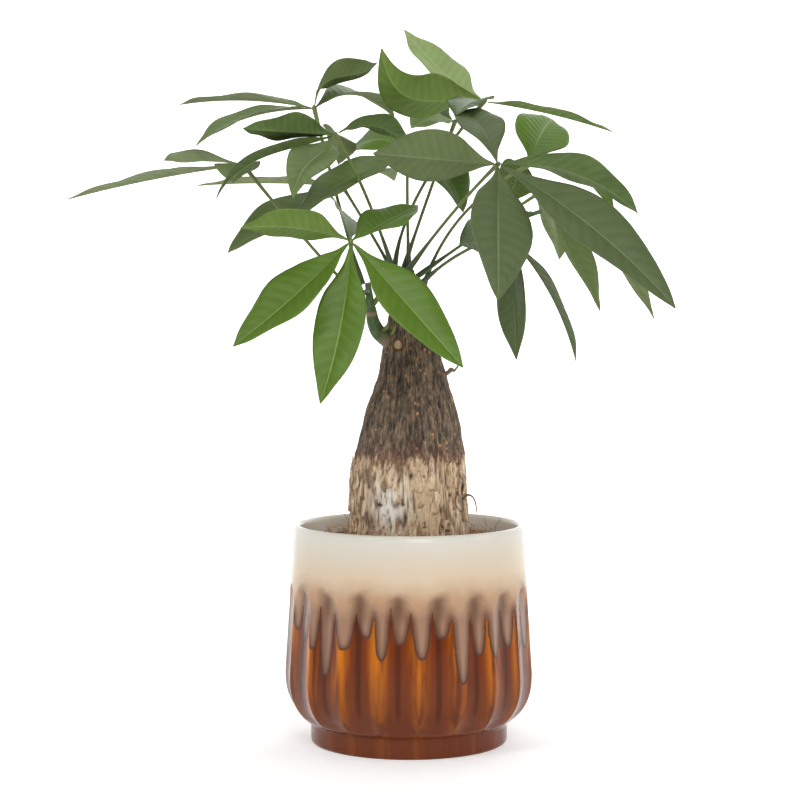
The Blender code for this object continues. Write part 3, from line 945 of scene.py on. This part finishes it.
@dataclass(frozen=True)
class ShootFinish:
    """A young shoot's dark green skin with a brown ring scar and a cut brown tip."""

    skin: tuple = (0.045, 0.085, 0.022)
    fleck: tuple = (0.10, 0.13, 0.05)
    scar: tuple = (0.23, 0.15, 0.085)

    def build(self) -> bpy.types.Material:
        """Makes the material, which reads how far along the shoot a place is."""
        g = Graph("shoot_skin")
        place = g.place()
        along = g.attribute("along")
        mottle = g.noise(place, 420.0, 4.0)
        colour = g.mix(mottle.step(0.45, 0.7), self.skin, self.fleck)
        ring = along.step(0.50, 0.53) * (1 - along.step(0.56, 0.60))
        colour = g.mix((ring + along.step(0.95, 0.99)) * 0.85, colour, self.scar)
        colour = g.mix((1 - along.step(0.08, 0.24)) * 0.8, colour, self.scar)
        return g.finish(Base_Color=colour, Roughness=0.5 + mottle * 0.2, Normal=g.bump(mottle, 0.5, 0.0008))


# Stems and leaves -----------------------------------------------------------------------------


@dataclass(frozen=True)
class StemFinish:
    """Smooth green skin, darker where a stalk swells at its foot."""

    young: tuple = (0.13, 0.17, 0.035)
    old: tuple = (0.035, 0.06, 0.018)

    def build(self, name: str) -> bpy.types.Material:
        """Makes the material, which reads how far along the stalk a place is."""
        g = Graph(name)
        place = g.place()
        along = g.attribute("along")
        mottle = g.noise(place, 300.0, 4.0)
        colour = g.mix((along + (mottle - 0.5) * 0.2).step(0.0, 0.45), self.old, self.young)
        colour = g.mix(mottle.step(0.5, 0.75) * 0.3, colour, self.old)
        return g.finish(Base_Color=colour, Roughness=0.42 + mottle * 0.15, Normal=g.bump(mottle, 0.3, 0.0006))


def sweep(name: str, routes: list, radii: list, sides: int, finish: bpy.types.Material) -> bpy.types.Object:
    """Sweeps round sections along smooth routes with Geometry Nodes.

    Args:
        name: The piece's name.
        routes: For each tube the points in millimetres that its middle passes through.
        radii: For each tube its radius at each point.
        sides: How many sides the section has.
        finish: The tubes' material.

    Returns:
        The tubes as one plain mesh with an "along" attribute from 0 to 1.
    """
    points, girths, shares, edges = [], [], [], []
    for route, widths in zip(routes, radii):
        route = np.array(route, float)
        knots = np.linspace(0, 1, len(route))
        fine = np.linspace(0, 1, 4 * len(route))
        first = len(shares)
        points += [catmull(route, knots, t) for t in fine]
        girths += list(np.interp(fine, knots, widths) * MM)
        shares += list(fine)
        edges += [(k, k + 1) for k in range(first, len(shares) - 1)]
    carrier = mesh_object(name + "_path", np.array(points), [], finish)
    carrier.data.edges.add(len(edges))
    carrier.data.edges.foreach_set("vertices", np.array(edges).ravel())
    store(carrier, "girth", girths)
    store(carrier, "along", shares)
    tree = sweep_tree()
    modifier = carrier.modifiers.new("sweep", "NODES")
    modifier.node_group = tree
    set_inputs(modifier, {"Sides": sides, "Finish": finish})
    made = realised(carrier, name)
    made.data.shade_smooth()
    return made


def set_inputs(modifier: bpy.types.NodesModifier, values: dict) -> None:
    """Sets a modifier's inputs by their sockets' identifiers."""
    for item in modifier.node_group.interface.items_tree:
        if item.item_type == "SOCKET" and item.in_out == "INPUT" and item.name in values:
            modifier[item.identifier] = values[item.name]


def catmull(route: np.ndarray, knots: np.ndarray, t: float) -> np.ndarray:
    """A point of the smooth curve through the route's points."""
    i = min(int(np.searchsorted(knots, t, "right")) - 1, len(knots) - 2)
    s = (t - knots[i]) / (knots[i + 1] - knots[i])
    p = [route[min(max(i + k, 0), len(route) - 1)] for k in (-1, 0, 1, 2)]
    return 0.5 * (
        2 * p[1] + (p[2] - p[0]) * s + (2 * p[0] - 5 * p[1] + 4 * p[2] - p[3]) * s**2
        + (3 * p[1] - p[0] - 3 * p[2] + p[3]) * s**3
    )


def sweep_tree() -> bpy.types.NodeTree:
    """The node tree that turns a chain of edges into a tube, made once."""
    known = bpy.data.node_groups.get("sweep_section")
    if known:
        return known
    tree = bpy.data.node_groups.new("sweep_section", "GeometryNodeTree")
    tree.interface.new_socket("Geometry", in_out="INPUT", socket_type="NodeSocketGeometry")
    tree.interface.new_socket("Sides", in_out="INPUT", socket_type="NodeSocketInt").default_value = 10
    tree.interface.new_socket("Finish", in_out="INPUT", socket_type="NodeSocketMaterial")
    tree.interface.new_socket("Geometry", in_out="OUTPUT", socket_type="NodeSocketGeometry")
    add, link = tree.nodes.new, tree.links.new
    start, end = add("NodeGroupInput"), add("NodeGroupOutput")
    curve, girth, circle = add("GeometryNodeMeshToCurve"), add("GeometryNodeSetCurveRadius"), add(
        "GeometryNodeCurvePrimitiveCircle"
    )
    named = add("GeometryNodeInputNamedAttribute")
    named.data_type = "FLOAT"
    named.inputs["Name"].default_value = "girth"
    circle.inputs["Radius"].default_value = 1.0
    body, real, coat = add("GeometryNodeCurveToMesh"), add("GeometryNodeRealizeInstances"), add(
        "GeometryNodeSetMaterial"
    )
    body.inputs["Fill Caps"].default_value = True
    link(start.outputs["Geometry"], curve.inputs["Mesh"])
    link(curve.outputs["Curve"], girth.inputs["Curve"])
    link(named.outputs["Attribute"], girth.inputs["Radius"])
    link(start.outputs["Sides"], circle.inputs["Resolution"])
    link(girth.outputs["Curve"], body.inputs["Curve"])
    link(circle.outputs["Curve"], body.inputs["Profile Curve"])
    if "Scale" in body.inputs:
        link(named.outputs["Attribute"], body.inputs["Scale"])
    link(body.outputs["Mesh"], real.inputs["Geometry"])
    link(real.outputs["Geometry"], coat.inputs["Geometry"])
    link(start.outputs["Finish"], coat.inputs["Material"])
    link(coat.outputs["Geometry"], end.inputs["Geometry"])
    return tree


class Tone(Enum):
    """How a leaf is coloured: upper face, under face and veins, in linear light. Some tones are painted light: the
    shade tone is painted shade for leaflets that sat in shade, the dark tone is also given to some shaded ones, and
    the pale tone is a painted glow of light shining through a blade.
    """

    BRIGHT = ((0.098, 0.182, 0.016), (0.14, 0.215, 0.040), (0.21, 0.32, 0.075))
    DARK = ((0.088, 0.122, 0.044), (0.115, 0.155, 0.055), (0.165, 0.215, 0.09))
    DEEP = ((0.055, 0.108, 0.028), (0.11, 0.17, 0.045), (0.18, 0.26, 0.10))
    OLIVE = ((0.125, 0.180, 0.055), (0.17, 0.22, 0.08), (0.21, 0.265, 0.11))
    # Painted light: a glow of light shining through the blade, not a paler green.
    PALE = ((0.24, 0.33, 0.11), (0.33, 0.43, 0.17), (0.38, 0.48, 0.21))
    SHADE = ((0.050, 0.098, 0.012), (0.085, 0.13, 0.025), (0.14, 0.20, 0.055))


@dataclass(frozen=True)
class LeafFinish:
    """A leaflet's skin: waxy above, matt below, with a pale midrib and side veins."""

    tone: Tone
    veins: float = 13.0
    slant: float = 0.1

    def build(self) -> bpy.types.Material:
        """Makes the material, which reads the blade's own UV map and its upper-face attribute."""
        upper, under, vein = self.tone.value
        g = Graph("leaf_" + self.tone.name.lower())
        uv = Field(g, g.node("ShaderNodeUVMap", {"uv_map": "blade"}).outputs["UV"])
        across, along, _ = g.axes(uv)
        place = g.place()
        off = g.math("ABSOLUTE", across - 0.5) * 2.0
        phase = (along - off * self.slant) * self.veins
        near = g.math("ABSOLUTE", g.math("FRACT", phase) - 0.5)
        lines = near.step(0.40, 0.49) * (1 - off.step(0.55, 0.98))
        rib = 1 - (off * (1.3 - along)).step(0.012, 0.032)
        top = g.attribute("upper")
        mottle = g.noise(place, 70.0, 4.0)
        fine = g.noise(place, 900.0, 2.0)
        skin = g.mix(top, under, upper)
        skin = g.mix(mottle.step(0.35, 0.75) * 0.35, skin, tuple(c * 0.72 for c in upper))
        skin = g.mix((1 - near).step(0.62, 0.98) * (1 - rib) * 0.12, skin, tuple(c * 0.55 for c in upper))
        skin = g.mix(lines * 0.12, skin, vein)
        skin = g.mix(rib * 0.8, skin, vein)
        skin = g.mix(off.step(0.93, 1.0) * 0.25, skin, vein)
        quilt = near * 0.5 + fine * 0.05 + rib * 0.15
        return g.finish(
            Base_Color=skin,
            Roughness=0.62 - top * 0.22 + mottle * 0.1,
            Specular_IOR_Level=0.3,
            Normal=g.bump(quilt, 0.35, 0.0009),
        )


@dataclass(frozen=True)
class Leaflet:
    """A blade by its compass heading, its tilt up from level, its length, width, arch and roll."""

    heading: float
    tilt: float
    length: float
    width: float
    arch: tuple
    roll: float


@dataclass(frozen=True)
class Leaf:
    """A palmate leaf: where its petiole leaves the stem, how it travels, its leaflets and their tones."""

    base: tuple
    bend: tuple
    hub: tuple
    leaflets: tuple
    tones: tuple


LEAVES = {
    "front_left": Leaf(
        (-26, -9.6, 284), (-33, -42, 291), (-35, -70, 315),
        (
            Leaflet(201, 6, 69, 28, (4, 4), 40),
            Leaflet(196, -41, 95, 38, (-2, -2), -35),
            Leaflet(238, -71, 101, 32, (-6, -6), -20),
            Leaflet(350, -48, 101, 34, (0, 0), 50),
            Leaflet(55, 18, 74, 30, (0, 0), 15),
            Leaflet(98, 16, 78, 28, (4, 4), 45),
        ),
        (Tone.BRIGHT, Tone.BRIGHT, Tone.BRIGHT, Tone.BRIGHT, Tone.BRIGHT, Tone.OLIVE,),
    ),
    "front_right": Leaf(
        (-1, -6.6, 297), (26, -38, 332), (52, -80, 360),
        (
            Leaflet(195, 4, 76, 36, (0, 0), 60),
            Leaflet(111, 29, 73, 30, (8, 8), -5),
            Leaflet(12, -18, 91, 36, (10, 10), -20),
            Leaflet(339, -38, 137, 38, (6, 6), 40),
            Leaflet(268, -59, 93, 42, (4, 4), -28),
        ),
        (Tone.DARK, Tone.DARK, Tone.DEEP, Tone.DARK, Tone.DARK,),
    ),
    "top_right": Leaf(
        (-9.2, 2.6, 296), (6, 17, 346), (48, 25, 405),
        (
            Leaflet(144, 38, 80, 32, (-4, -4), -15),
            Leaflet(205, 23, 78, 38, (-2, -33), 45),
            Leaflet(256, -10, 82, 30, (2, 4), 0),
            Leaflet(346, -14, 85, 32, (2, 2), 0),
        ),
        (Tone.PALE, Tone.BRIGHT, Tone.SHADE, Tone.BRIGHT,),
    ),
    "top_left": Leaf(
        (-29.0, -4, 289), (-43, 5, 335), (-60, 18, 400),
        (
            Leaflet(160, 3, 94, 34, (4, 4), -5),
            Leaflet(214, -17, 89, 30, (6, 8), -5),
            Leaflet(36, 33, 58, 30, (18, -5), -35),
            Leaflet(52, -1, 82, 32, (12, 12), 10),
        ),
        (Tone.OLIVE, Tone.OLIVE, Tone.OLIVE, Tone.OLIVE,),
    ),
    "upper_left": Leaf(
        (-8.8, -4, 294), (-26, -23, 342), (-45, -40, 380),
        (
            Leaflet(216, 1, 66, 30, (0, 0), 30),
            Leaflet(248, -33, 74, 28, (-4, 12), -20),
            Leaflet(197, -28, 84, 30, (2, 14), 10),
            Leaflet(18, -10, 49, 26, (10, 10), -20),
            Leaflet(90, -13, 66, 26, (6, 6), 35),
        ),
        (Tone.DEEP, Tone.OLIVE, Tone.SHADE, Tone.DEEP, Tone.OLIVE,),
    ),
    "far_left": Leaf(
        (-28, -6.6, 278), (-58, -9, 309), (-103, -15, 363),
        (
            Leaflet(178, -11, 112, 36, (2, 2), -5),
            Leaflet(134, 4, 79, 28, (2, 0), 15),
            Leaflet(262, -24, 30, 30, (2, 4), 0),
        ),
        (Tone.OLIVE, Tone.OLIVE, Tone.OLIVE,),
    ),
    "back_left": Leaf(
        (-7.2, 5.6, 291.5), (-27, 26, 326), (-43, 45, 352),
        (
            Leaflet(209, -28, 92, 38, (2, 2), -20),
            Leaflet(160, 1, 103, 34, (2, 2), -5),
            Leaflet(61, 5, 69, 34, (8, 8), 10),
        ),
        (Tone.OLIVE, Tone.OLIVE, Tone.OLIVE,),
    ),
    "middle": Leaf(
        (0, 6.4, 298), (-1, 8, 335), (-1, 10, 372),
        (
            Leaflet(209, -26, 85, 34, (2, 2), -20),
            Leaflet(327, -43, 56, 34, (8, 8), 15),
            Leaflet(126, 4, 64, 34, (8, 6), -40),
        ),
        (Tone.OLIVE, Tone.SHADE, Tone.BRIGHT,),
    ),
    "back_right": Leaf(
        (5.4, 1, 294), (44, 24, 321), (88, 50, 350),
        (
            Leaflet(313, -58, 92, 32, (0, 0), -10),
            Leaflet(78, -32, 84, 32, (6, 6), 30),
            Leaflet(6, -49, 111, 36, (6, 6), -10),
        ),
        (Tone.OLIVE, Tone.OLIVE, Tone.OLIVE,),
    ),
    "low_right": Leaf(
        (6.2, -4.6, 288), (32, -3, 308), (62, 5, 320),
        (
            Leaflet(286, -77, 80, 26, (4, 4), 60),
            Leaflet(7, -61, 91, 34, (6, 6), 5),
            Leaflet(242, -6, 68, 32, (0, -1), -50),
            Leaflet(56, 20, 42, 26, (4, 4), 0),
        ),
        (Tone.DARK, Tone.DARK, Tone.SHADE, Tone.SHADE,),
    ),
    "back_middle": Leaf(
        (-4.2, 6.6, 296.5), (12, 34, 344), (30, 60, 394),
        (
            Leaflet(221, -8, 38, 30, (4, 4), -25),
            Leaflet(138, 13, 53, 30, (4, 6), -15),
        ),
        (Tone.PALE, Tone.DEEP,),
    ),
    "upper_right": Leaf(
        (7.7, 4.0, 281.5), (32, 28, 330), (78, 55, 366),
        (
            Leaflet(71, 30, 67, 40, (4, 4), 30),
            Leaflet(112, -39, 36, 30, (6, 4), 45),
            Leaflet(7, -26, 63, 34, (10, 8), -10),
        ),
        (Tone.BRIGHT, Tone.SHADE, Tone.BRIGHT,),
    ),
}


@dataclass
class Foliage:
    """All petioles and leaflets."""

    hub_radius: float = 1.6
    start: float = 2.2
    petiole_radius: float = 1.0
    pulvinus_radius: float = 1.8
    thickness: float = 0.42
    fold: float = 0.36
    droop: float = 0.12
    quilt: float = 0.55
    ripple: float = 0.9
    stations: int = 66
    columns: int = 21
    outline: tuple = (
        (0.0, 0.035), (0.1, 0.18), (0.2, 0.47), (0.3, 0.8), (0.4, 0.96), (0.5, 1.0),
        (0.6, 0.94), (0.7, 0.8), (0.8, 0.6), (0.9, 0.33), (0.96, 0.16), (1.0, 0.01),
    )

    def build(self) -> None:
        """Makes every leaf."""
        skins = {tone: LeafFinish(tone).build() for tone in Tone}
        stalk = StemFinish().build("petiole_skin")
        for place, leaf in LEAVES.items():
            self.grow_petiole(place, leaf, stalk)
            for number, (leaflet, tone) in enumerate(zip(leaf.leaflets, leaf.tones), 1):
                self.grow_leaflet(f"{place}_leaflet_{number}", leaf.hub, leaflet, skins[tone])

    def grow_petiole(self, place: str, leaf: Leaf, finish: bpy.types.Material) -> None:
        """Sweeps one petiole, thick at its foot and at the leaflets.

        Args:
            place: The leaf's name.
            leaf: Its layout.
            finish: The petiole's skin.
        """
        start, bend, end = (np.array(p, float) for p in (leaf.base, leaf.bend, leaf.hub))
        pull = 2 * bend - (start + end) / 2
        t = np.linspace(0, 1, 13)[:, None]
        route = (1 - t) ** 2 * start + 2 * (1 - t) * t * pull + t * t * end
        ahead = (end - pull) / np.linalg.norm(end - pull)
        route = np.vstack([route, end + ahead * self.hub_radius * 0.5, end + ahead * self.hub_radius * 0.85])
        t = t[:, 0]
        radii = self.petiole_radius + (self.pulvinus_radius - self.petiole_radius) * (1 - smoothstep(0.05, 0.26, t))
        radii = radii + (self.hub_radius - self.petiole_radius) * smoothstep(0.86, 1.0, t)
        radii = np.concatenate([radii, [self.hub_radius * 0.9, self.hub_radius * 0.4]])
        piece = sweep(place + "_stalk", [route], [radii], 12, finish)
        dress(piece, "petiole", place + "_petiole")

    def grow_leaflet(self, name: str, hub: tuple, leaflet: Leaflet, finish: bpy.types.Material) -> None:
        """Makes one blade: folded, quilted between its veins and rippled at its edge.

        Args:
            name: The CAD node that it stands for.
            hub: Where the leaflets meet, in millimetres.
            leaflet: Its layout.
            finish: Its skin.
        """
        draw = random.Random(name)
        heading, tilt, roll = (math.radians(v) for v in (leaflet.heading, leaflet.tilt, leaflet.roll))
        along = np.array([math.cos(heading) * math.cos(tilt), math.sin(heading) * math.cos(tilt), math.sin(tilt)])
        level = np.array([-math.sin(heading), math.cos(heading), 0.0])
        up = np.cross(along, level)
        p0 = np.array(hub, float)
        p3 = p0 + along * leaflet.length
        p1 = p0 + along * leaflet.length * 0.33 + up * leaflet.arch[0] * 1.33
        p2 = p0 + along * leaflet.length * 0.67 + up * leaflet.arch[1] * 1.33
        begin = self.start / (3 * np.linalg.norm(p1 - p0))
        share = np.linspace(0, 1, self.stations)
        t = (begin + (1 - begin) * share)[:, None]
        centre = (1 - t) ** 3 * p0 + 3 * (1 - t) ** 2 * t * p1 + 3 * (1 - t) * t * t * p2 + t**3 * p3
        ahead = 3 * (1 - t) ** 2 * (p1 - p0) + 6 * (1 - t) * t * (p2 - p1) + 3 * t * t * (p3 - p2)
        ahead /= np.linalg.norm(ahead, axis=1, keepdims=True)
        side = level * math.cos(roll) + np.cross(ahead, level) * math.sin(roll)
        side -= ahead * (side * ahead).sum(axis=1, keepdims=True)
        side /= np.linalg.norm(side, axis=1, keepdims=True)
        face = np.cross(ahead, side)
        reach = np.maximum(self.half_width(share) * leaflet.width, 0.5)[:, None]
        s = np.linspace(-1, 1, self.columns)
        u = (np.sign(s) * np.abs(s) ** 1.35)[None, :]
        off = np.abs(u)
        phase = (share[:, None] - off * 0.1) * 13.0
        body = smoothstep(0.04, 0.16, share)[:, None] * (1 - smoothstep(0.86, 1.0, share))[:, None]
        quilt = np.abs(np.sin(math.pi * phase)) * self.quilt * body * np.sin(math.pi * np.clip(off, 0, 1)) ** 0.7
        wave = np.sin(2 * math.pi * (share[:, None] * draw.uniform(1.6, 2.6) + draw.random()) + u * 1.4)
        lift = reach * (self.fold * off - self.droop * u**2) + quilt + self.ripple * wave * off**2.5 * body
        skin = self.thickness * (1.0 - 0.5 * off) / 2 + 0.35 * np.exp(-((u * reach / 0.9) ** 2)) * (1 - share[:, None] * 0.7)
        flat = centre[:, None, :] + side[:, None, :] * (reach * u * 0.97)[..., None]
        top = flat + face[:, None, :] * (lift + self.thickness * (1 - 0.5 * off) / 2)[..., None]
        low = flat + face[:, None, :] * (lift - skin)[..., None]
        points = np.concatenate([top.reshape(-1, 3), low.reshape(-1, 3)])
        made = mesh_object(name + "_blade", points, slab_faces(self.stations, self.columns), finish)
        store(made, "upper", np.repeat([1.0, 0.0], self.stations * self.columns))
        self.map_blade(made, share, np.broadcast_to(u, (self.stations, self.columns)))
        dress(made, "leaf_blade", name)

    def half_width(self, share: np.ndarray) -> np.ndarray:
        """Half the blade's width, as a share of its full width, on a smooth outline."""
        fine = np.linspace(0, 1, 401)
        shares, widths = zip(*self.outline)
        rough = np.interp(fine, shares, widths)
        kernel = np.hanning(41)
        padded = np.pad(rough, 20, mode="edge")
        smooth = np.convolve(padded, kernel / kernel.sum(), "valid")
        blend = smoothstep(0.0, 0.05, fine) * (1 - smoothstep(0.95, 1.0, fine))
        return np.interp(share, fine, smooth * blend + rough * (1 - blend)) / 2

    def map_blade(self, piece: bpy.types.Object, share: np.ndarray, u: np.ndarray) -> None:
        """Gives a blade its UV map: across the blade and along it."""
        layer = piece.data.uv_layers.new(name="blade")
        flat = np.stack([u.ravel() * 0.5 + 0.5, np.repeat(share, self.columns)], axis=1)
        both = np.concatenate([flat, flat])
        corners = np.empty(len(piece.data.loops), np.int32)
        piece.data.loops.foreach_get("vertex_index", corners)
        layer.uv.foreach_set("vector", both[corners].astype(np.float32).ravel())


# Studio ---------------------------------------------------------------------------------------


@dataclass
class Studio:
    """A pale sweep, soft lights and the camera."""

    eye: tuple = (-5.7, -1412.0, 295.0)
    pitch_down: float = 3.2
    lens: float = 101.0

    def build(self) -> None:
        """Sets up floor, lights, world and camera."""
        self.lay_floor()
        self.hang_light("front", (0.35, -2.0, 1.15), 1.0, 20.5)
        self.hang_light("key", (-1.1, -1.3, 1.5), 0.5, 9.5)
        self.hang_light("side", (1.5, -0.4, 0.7), 0.7, 3.0)
        self.hang_light("top", (0.0, 0.1, 1.7), 1.2, 6.8)
        self.hang_light("back", (0.6, 1.4, 1.3), 1.2, 4.2)
        world = bpy.data.worlds.new("studio_air")
        world.use_nodes = True
        world.node_tree.nodes["Background"].inputs["Color"].default_value = (1.0, 1.0, 1.0, 1.0)
        world.node_tree.nodes["Background"].inputs["Strength"].default_value = 0.15
        bpy.context.scene.world = world
        bpy.context.scene.view_settings.view_transform = "Standard"
        data = bpy.data.cameras.new("camera")
        data.lens = self.lens
        data.sensor_width = 36.0
        data.clip_start = 0.05
        camera = bpy.data.objects.new("camera", data)
        camera.location = tuple(v * MM for v in self.eye)
        camera.rotation_euler = (math.radians(90 - self.pitch_down), 0.0, 0.0)
        bpy.context.scene.collection.objects.link(camera)
        bpy.context.scene.camera = camera

    def lay_floor(self) -> None:
        """A pale round floor that turns up into a wall, bright behind the plant and dim before it."""
        g = Graph("paper_sweep")
        place = g.place()
        _, y, z = g.axes(place)
        grain = g.noise(place, 3.0, 2.0)
        before = 1 - y.step(-2.0, -1.2)
        glow = g.mix(y.step(-0.5, 3.5), (0.16, 0.16, 0.16), (0.95, 0.95, 0.95))
        ground = g.mix(y.step(-0.5, 1.2), (0.2, 0.2, 0.2), (0.75, 0.75, 0.75))
        glow = g.mix(z.step(0.0, 0.4), ground, glow)
        glow = g.mix(before, glow, (0.06, 0.06, 0.06))
        pale = g.mix(grain, (0.9, 0.9, 0.9), (0.94, 0.94, 0.94))
        finish = g.finish(
            Base_Color=g.mix(before, pale, (0.35, 0.35, 0.35)),
            Roughness=0.9,
            Emission_Color=glow,
            Emission_Strength=1.0,
        )
        turn = np.linspace(0.0, math.pi / 2, 16)
        radii = np.concatenate([[1.0, 1500.0, 3600.0], 3600.0 + 1100.0 * np.sin(turn), [4700.0]])
        heights = np.concatenate([[0.0, 0.0, 0.0], 1100.0 * (1 - np.cos(turn)), [3600.0]])
        around = 96
        angle = np.linspace(0, 2 * math.pi, around, endpoint=False)
        points = np.stack(
            [np.outer(radii, np.cos(angle)), np.outer(radii, np.sin(angle)), np.outer(heights, np.ones(around))], 2
        )
        faces = ring_faces(len(radii), around)
        faces = [faces[0][::-1]] + [face[::-1] for face in faces[2:]]
        mesh_object("sweep", points.reshape(-1, 3), faces, finish)

    def hang_light(self, name: str, place: tuple, size: float, watts: float) -> None:
        """Hangs a square soft light that faces the plant.

        Args:
            name: The light's name.
            place: Where it hangs, in metres.
            size: Its side, in metres.
            watts: Its power.
        """
        data = bpy.data.lights.new(name, "AREA")
        data.size = size
        data.energy = watts
        light = bpy.data.objects.new(name, data)
        light.location = place
        aim = Vector((0, 0, 0.2)) - Vector(place)
        light.rotation_euler = aim.to_track_quat("-Z", "Y").to_euler()
        bpy.context.scene.collection.objects.link(light)


def main() -> None:
    """Builds the studio and every piece in order."""
    Studio().build()
    Pot().build()
    Coir().build()
    Stump().build()
    Foliage().build()


if __name__ == "__main__":
    logging.basicConfig(level=logging.INFO)
    main()
